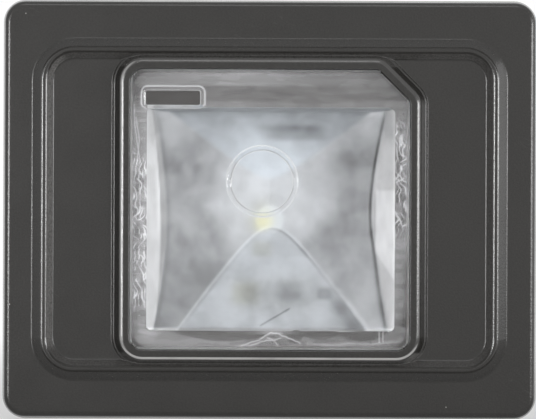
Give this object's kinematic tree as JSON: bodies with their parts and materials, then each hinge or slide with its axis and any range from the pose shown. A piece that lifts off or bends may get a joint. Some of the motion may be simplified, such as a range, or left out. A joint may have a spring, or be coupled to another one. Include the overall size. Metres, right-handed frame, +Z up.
{
  "type": "number plate lamp",
  "caption": "Flush LED number plate lamp: black bezel with a raised band, square clear lens with one cut corner, hazy diffuser over a white board, rear socket, hook and spring clip.",
  "frame": {"origin": "middle of the bezel in the panel plane, where the gasket's back meets the panel", "axes": "-Y out of the lens, +Y into the panel, +Z up along the face, +X to the right as the lens is seen"},
  "size_m": [0.0624, 0.0297, 0.049],
  "materials": {
    "black_plastic": "satin moulded, fine grain",
    "clear_lens": "polished, clear",
    "sealant": "cured bead, wrinkled",
    "clear_diffuser": "clear with a milky haze",
    "board_white": "white solder mask",
    "led_white": "moulded",
    "phosphor": "silicone fill",
    "chip_black": "moulded",
    "chip_tan": "fired",
    "tin": "tinned",
    "blade_brass": "rolled strip",
    "foam": "closed-cell foam",
    "spring_steel": "rolled spring strip"
  },
  "bodies": {
    "root": {"housing": "black_plastic", "lens": "clear_lens", "lens_sealant": "sealant", "diffuser": "clear_diffuser", "pcb": "board_white", "led_body": "led_white", "led_phosphor": "phosphor", "led_terminals": "tin", "resistor_1": "chip_black", "resistor_2": "chip_black", "resistor_3": "chip_black", "chip_capacitor": "chip_tan", "polarity_diode": "chip_black", "suppressor_diode": "chip_black", "component_terminations": "tin", "terminal_pin_1": "blade_brass", "terminal_pin_2": "blade_brass", "pin_solder_joints": "tin", "gasket": "foam", "spring_clip": "spring_steel"}
  },
  "joints": []
}
